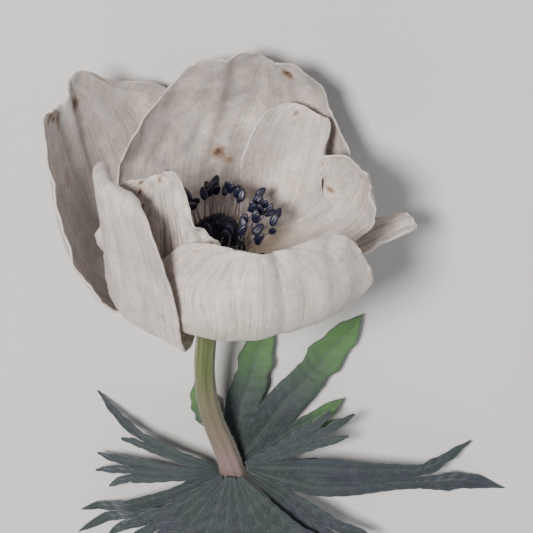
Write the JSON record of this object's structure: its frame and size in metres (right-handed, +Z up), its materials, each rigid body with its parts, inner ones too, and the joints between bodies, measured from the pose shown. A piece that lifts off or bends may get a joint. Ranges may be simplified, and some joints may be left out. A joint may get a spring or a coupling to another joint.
{
  "type": "anemone flower",
  "caption": "Picked anemone lying on its side: an open bowl of pale tepals round a dark seed head and stamens, on a cut stem with a whorl of cut leaves.",
  "frame": {"origin": "centre of the bounding box's bottom face, on the table the flower lies on", "axes": "+Z up from the table, +Y along the stem from its cut end towards the flower, +X to the right of the stem seen from above with the flower at the far end"},
  "size_m": [0.1006, 0.1784, 0.0724],
  "materials": {
    "tepal": "soft off-white tepal tissue with fine parallel veins",
    "centre": "black, knobbly and slightly furry",
    "stamen": "satin blue-black anthers",
    "stem": "matte olive green, slightly hairy",
    "leaf": "velvety dark green"
  },
  "bodies": {
    "root": {"tepal_back": "tepal", "tepal_left": "tepal", "tepal_front_left": "tepal", "tepal_inner_left": "tepal", "tepal_front": "tepal", "tepal_inner_right": "tepal", "tepal_right": "tepal", "tepal_far_right": "tepal", "seed_head": "centre", "stamens": "stamen", "stem": "stem", "leaf_left": "leaf", "leaf_right": "leaf", "leaf_front": "leaf", "leaf_rear": "leaf"}
  },
  "joints": []
}
